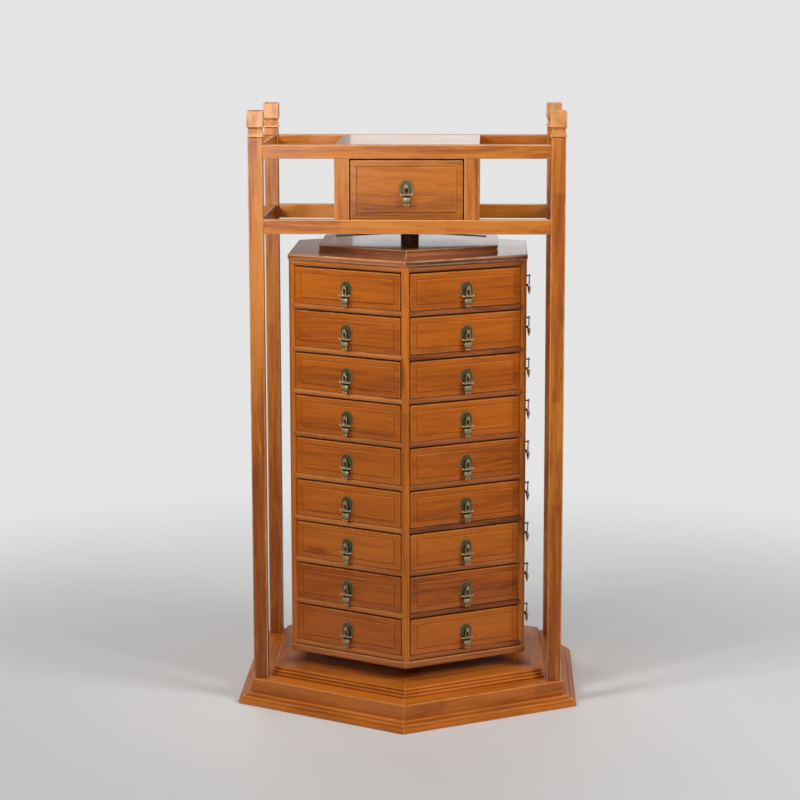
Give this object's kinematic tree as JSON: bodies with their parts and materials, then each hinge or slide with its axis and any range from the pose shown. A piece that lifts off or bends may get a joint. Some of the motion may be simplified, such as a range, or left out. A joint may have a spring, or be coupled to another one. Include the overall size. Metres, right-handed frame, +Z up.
{
  "type": "medicine cabinet",
  "caption": "Revolving hexagonal wooden medicine cabinet: a drum of small drawers turns on a stepped plinth inside a four-post stand with a gallery drawer on top.",
  "frame": {"origin": "on the floor, on the axis that the drum turns about", "axes": "+Z up along the drum's axis, -Y towards the front with the gallery drawer, +X to the viewer's right"},
  "size_m": [0.859, 0.9918, 1.5],
  "materials": {
    "stand_wood": "satin lacquer",
    "drum_wood": "satin lacquer",
    "drawer_wood": "satin lacquer"
  },
  "bodies": {
    "stand": {"plinth": "stand_wood", "stand_frame": "stand_wood", "gallery_case": "stand_wood"},
    "drum": {"drum_shelves": "drum_wood", "drum_partitions": "drum_wood"},
    "case_drawer": {"case_drawer": "drawer_wood"},
    "drawer_a1": {"drawer_a1": "drawer_wood"},
    "drawer_a2": {"drawer_a2": "drawer_wood"},
    "drawer_a3": {"drawer_a3": "drawer_wood"},
    "drawer_a4": {"drawer_a4": "drawer_wood"},
    "drawer_a5": {"drawer_a5": "drawer_wood"},
    "drawer_a6": {"drawer_a6": "drawer_wood"},
    "drawer_a7": {"drawer_a7": "drawer_wood"},
    "drawer_a8": {"drawer_a8": "drawer_wood"},
    "drawer_a9": {"drawer_a9": "drawer_wood"},
    "drawer_b1": {"drawer_b1": "drawer_wood"},
    "drawer_b2": {"drawer_b2": "drawer_wood"},
    "drawer_b3": {"drawer_b3": "drawer_wood"},
    "drawer_b4": {"drawer_b4": "drawer_wood"},
    "drawer_b5": {"drawer_b5": "drawer_wood"},
    "drawer_b6": {"drawer_b6": "drawer_wood"},
    "drawer_b7": {"drawer_b7": "drawer_wood"},
    "drawer_b8": {"drawer_b8": "drawer_wood"},
    "drawer_b9": {"drawer_b9": "drawer_wood"},
    "drawer_c1": {"drawer_c1": "drawer_wood"},
    "drawer_c2": {"drawer_c2": "drawer_wood"},
    "drawer_c3": {"drawer_c3": "drawer_wood"},
    "drawer_c4": {"drawer_c4": "drawer_wood"},
    "drawer_c5": {"drawer_c5": "drawer_wood"},
    "drawer_c6": {"drawer_c6": "drawer_wood"},
    "drawer_c7": {"drawer_c7": "drawer_wood"},
    "drawer_c8": {"drawer_c8": "drawer_wood"},
    "drawer_c9": {"drawer_c9": "drawer_wood"},
    "drawer_d1": {"drawer_d1": "drawer_wood"},
    "drawer_d2": {"drawer_d2": "drawer_wood"},
    "drawer_d3": {"drawer_d3": "drawer_wood"},
    "drawer_d4": {"drawer_d4": "drawer_wood"},
    "drawer_d5": {"drawer_d5": "drawer_wood"},
    "drawer_d6": {"drawer_d6": "drawer_wood"},
    "drawer_d7": {"drawer_d7": "drawer_wood"},
    "drawer_d8": {"drawer_d8": "drawer_wood"},
    "drawer_d9": {"drawer_d9": "drawer_wood"},
    "drawer_e1": {"drawer_e1": "drawer_wood"},
    "drawer_e2": {"drawer_e2": "drawer_wood"},
    "drawer_e3": {"drawer_e3": "drawer_wood"},
    "drawer_e4": {"drawer_e4": "drawer_wood"},
    "drawer_e5": {"drawer_e5": "drawer_wood"},
    "drawer_e6": {"drawer_e6": "drawer_wood"},
    "drawer_e7": {"drawer_e7": "drawer_wood"},
    "drawer_e8": {"drawer_e8": "drawer_wood"},
    "drawer_e9": {"drawer_e9": "drawer_wood"},
    "drawer_f1": {"drawer_f1": "drawer_wood"},
    "drawer_f2": {"drawer_f2": "drawer_wood"},
    "drawer_f3": {"drawer_f3": "drawer_wood"},
    "drawer_f4": {"drawer_f4": "drawer_wood"},
    "drawer_f5": {"drawer_f5": "drawer_wood"},
    "drawer_f6": {"drawer_f6": "drawer_wood"},
    "drawer_f7": {"drawer_f7": "drawer_wood"},
    "drawer_f8": {"drawer_f8": "drawer_wood"},
    "drawer_f9": {"drawer_f9": "drawer_wood"}
  },
  "joints": [
    {"name": "carousel_turn", "type": "hinge", "parent": "stand", "child": "drum", "pos_m": [0, 0, 0], "axis": [0, 0, 1], "continuous": true},
    {"name": "case_drawer_slide", "type": "slide", "parent": "stand", "child": "case_drawer", "axis": [0, -1, 0], "range_m": [0, 0.28]},
    {"name": "drawer_a1_slide", "type": "slide", "parent": "drum", "child": "drawer_a1", "axis": [-0.5, -0.866, 0], "range_m": [0, 0.15]},
    {"name": "drawer_a2_slide", "type": "slide", "parent": "drum", "child": "drawer_a2", "axis": [-0.5, -0.866, 0], "range_m": [0, 0.15]},
    {"name": "drawer_a3_slide", "type": "slide", "parent": "drum", "child": "drawer_a3", "axis": [-0.5, -0.866, 0], "range_m": [0, 0.15]},
    {"name": "drawer_a4_slide", "type": "slide", "parent": "drum", "child": "drawer_a4", "axis": [-0.5, -0.866, 0], "range_m": [0, 0.15]},
    {"name": "drawer_a5_slide", "type": "slide", "parent": "drum", "child": "drawer_a5", "axis": [-0.5, -0.866, 0], "range_m": [0, 0.15]},
    {"name": "drawer_a6_slide", "type": "slide", "parent": "drum", "child": "drawer_a6", "axis": [-0.5, -0.866, 0], "range_m": [0, 0.15]},
    {"name": "drawer_a7_slide", "type": "slide", "parent": "drum", "child": "drawer_a7", "axis": [-0.5, -0.866, 0], "range_m": [0, 0.15]},
    {"name": "drawer_a8_slide", "type": "slide", "parent": "drum", "child": "drawer_a8", "axis": [-0.5, -0.866, 0], "range_m": [0, 0.15]},
    {"name": "drawer_a9_slide", "type": "slide", "parent": "drum", "child": "drawer_a9", "axis": [-0.5, -0.866, 0], "range_m": [0, 0.15]},
    {"name": "drawer_b1_slide", "type": "slide", "parent": "drum", "child": "drawer_b1", "axis": [0.5, -0.866, 0], "range_m": [0, 0.15]},
    {"name": "drawer_b2_slide", "type": "slide", "parent": "drum", "child": "drawer_b2", "axis": [0.5, -0.866, 0], "range_m": [0, 0.15]},
    {"name": "drawer_b3_slide", "type": "slide", "parent": "drum", "child": "drawer_b3", "axis": [0.5, -0.866, 0], "range_m": [0, 0.15]},
    {"name": "drawer_b4_slide", "type": "slide", "parent": "drum", "child": "drawer_b4", "axis": [0.5, -0.866, 0], "range_m": [0, 0.15]},
    {"name": "drawer_b5_slide", "type": "slide", "parent": "drum", "child": "drawer_b5", "axis": [0.5, -0.866, 0], "range_m": [0, 0.15]},
    {"name": "drawer_b6_slide", "type": "slide", "parent": "drum", "child": "drawer_b6", "axis": [0.5, -0.866, 0], "range_m": [0, 0.15]},
    {"name": "drawer_b7_slide", "type": "slide", "parent": "drum", "child": "drawer_b7", "axis": [0.5, -0.866, 0], "range_m": [0, 0.15]},
    {"name": "drawer_b8_slide", "type": "slide", "parent": "drum", "child": "drawer_b8", "axis": [0.5, -0.866, 0], "range_m": [0, 0.15]},
    {"name": "drawer_b9_slide", "type": "slide", "parent": "drum", "child": "drawer_b9", "axis": [0.5, -0.866, 0], "range_m": [0, 0.15]},
    {"name": "drawer_c1_slide", "type": "slide", "parent": "drum", "child": "drawer_c1", "axis": [1, 0, 0], "range_m": [0, 0.15]},
    {"name": "drawer_c2_slide", "type": "slide", "parent": "drum", "child": "drawer_c2", "axis": [1, 0, 0], "range_m": [0, 0.15]},
    {"name": "drawer_c3_slide", "type": "slide", "parent": "drum", "child": "drawer_c3", "axis": [1, 0, 0], "range_m": [0, 0.15]},
    {"name": "drawer_c4_slide", "type": "slide", "parent": "drum", "child": "drawer_c4", "axis": [1, 0, 0], "range_m": [0, 0.15]},
    {"name": "drawer_c5_slide", "type": "slide", "parent": "drum", "child": "drawer_c5", "axis": [1, 0, 0], "range_m": [0, 0.15]},
    {"name": "drawer_c6_slide", "type": "slide", "parent": "drum", "child": "drawer_c6", "axis": [1, 0, 0], "range_m": [0, 0.15]},
    {"name": "drawer_c7_slide", "type": "slide", "parent": "drum", "child": "drawer_c7", "axis": [1, 0, 0], "range_m": [0, 0.15]},
    {"name": "drawer_c8_slide", "type": "slide", "parent": "drum", "child": "drawer_c8", "axis": [1, 0, 0], "range_m": [0, 0.15]},
    {"name": "drawer_c9_slide", "type": "slide", "parent": "drum", "child": "drawer_c9", "axis": [1, 0, 0], "range_m": [0, 0.15]},
    {"name": "drawer_d1_slide", "type": "slide", "parent": "drum", "child": "drawer_d1", "axis": [0.5, 0.866, 0], "range_m": [0, 0.15]},
    {"name": "drawer_d2_slide", "type": "slide", "parent": "drum", "child": "drawer_d2", "axis": [0.5, 0.866, 0], "range_m": [0, 0.15]},
    {"name": "drawer_d3_slide", "type": "slide", "parent": "drum", "child": "drawer_d3", "axis": [0.5, 0.866, 0], "range_m": [0, 0.15]},
    {"name": "drawer_d4_slide", "type": "slide", "parent": "drum", "child": "drawer_d4", "axis": [0.5, 0.866, 0], "range_m": [0, 0.15]},
    {"name": "drawer_d5_slide", "type": "slide", "parent": "drum", "child": "drawer_d5", "axis": [0.5, 0.866, 0], "range_m": [0, 0.15]},
    {"name": "drawer_d6_slide", "type": "slide", "parent": "drum", "child": "drawer_d6", "axis": [0.5, 0.866, 0], "range_m": [0, 0.15]},
    {"name": "drawer_d7_slide", "type": "slide", "parent": "drum", "child": "drawer_d7", "axis": [0.5, 0.866, 0], "range_m": [0, 0.15]},
    {"name": "drawer_d8_slide", "type": "slide", "parent": "drum", "child": "drawer_d8", "axis": [0.5, 0.866, 0], "range_m": [0, 0.15]},
    {"name": "drawer_d9_slide", "type": "slide", "parent": "drum", "child": "drawer_d9", "axis": [0.5, 0.866, 0], "range_m": [0, 0.15]},
    {"name": "drawer_e1_slide", "type": "slide", "parent": "drum", "child": "drawer_e1", "axis": [-0.5, 0.866, 0], "range_m": [0, 0.15]},
    {"name": "drawer_e2_slide", "type": "slide", "parent": "drum", "child": "drawer_e2", "axis": [-0.5, 0.866, 0], "range_m": [0, 0.15]},
    {"name": "drawer_e3_slide", "type": "slide", "parent": "drum", "child": "drawer_e3", "axis": [-0.5, 0.866, 0], "range_m": [0, 0.15]},
    {"name": "drawer_e4_slide", "type": "slide", "parent": "drum", "child": "drawer_e4", "axis": [-0.5, 0.866, 0], "range_m": [0, 0.15]},
    {"name": "drawer_e5_slide", "type": "slide", "parent": "drum", "child": "drawer_e5", "axis": [-0.5, 0.866, 0], "range_m": [0, 0.15]},
    {"name": "drawer_e6_slide", "type": "slide", "parent": "drum", "child": "drawer_e6", "axis": [-0.5, 0.866, 0], "range_m": [0, 0.15]},
    {"name": "drawer_e7_slide", "type": "slide", "parent": "drum", "child": "drawer_e7", "axis": [-0.5, 0.866, 0], "range_m": [0, 0.15]},
    {"name": "drawer_e8_slide", "type": "slide", "parent": "drum", "child": "drawer_e8", "axis": [-0.5, 0.866, 0], "range_m": [0, 0.15]},
    {"name": "drawer_e9_slide", "type": "slide", "parent": "drum", "child": "drawer_e9", "axis": [-0.5, 0.866, 0], "range_m": [0, 0.15]},
    {"name": "drawer_f1_slide", "type": "slide", "parent": "drum", "child": "drawer_f1", "axis": [-1, 0, 0], "range_m": [0, 0.15]},
    {"name": "drawer_f2_slide", "type": "slide", "parent": "drum", "child": "drawer_f2", "axis": [-1, 0, 0], "range_m": [0, 0.15]},
    {"name": "drawer_f3_slide", "type": "slide", "parent": "drum", "child": "drawer_f3", "axis": [-1, 0, 0], "range_m": [0, 0.15]},
    {"name": "drawer_f4_slide", "type": "slide", "parent": "drum", "child": "drawer_f4", "axis": [-1, 0, 0], "range_m": [0, 0.15]},
    {"name": "drawer_f5_slide", "type": "slide", "parent": "drum", "child": "drawer_f5", "axis": [-1, 0, 0], "range_m": [0, 0.15]},
    {"name": "drawer_f6_slide", "type": "slide", "parent": "drum", "child": "drawer_f6", "axis": [-1, 0, 0], "range_m": [0, 0.15]},
    {"name": "drawer_f7_slide", "type": "slide", "parent": "drum", "child": "drawer_f7", "axis": [-1, 0, 0], "range_m": [0, 0.15]},
    {"name": "drawer_f8_slide", "type": "slide", "parent": "drum", "child": "drawer_f8", "axis": [-1, 0, 0], "range_m": [0, 0.15]},
    {"name": "drawer_f9_slide", "type": "slide", "parent": "drum", "child": "drawer_f9", "axis": [-1, 0, 0], "range_m": [0, 0.15]}
  ]
}
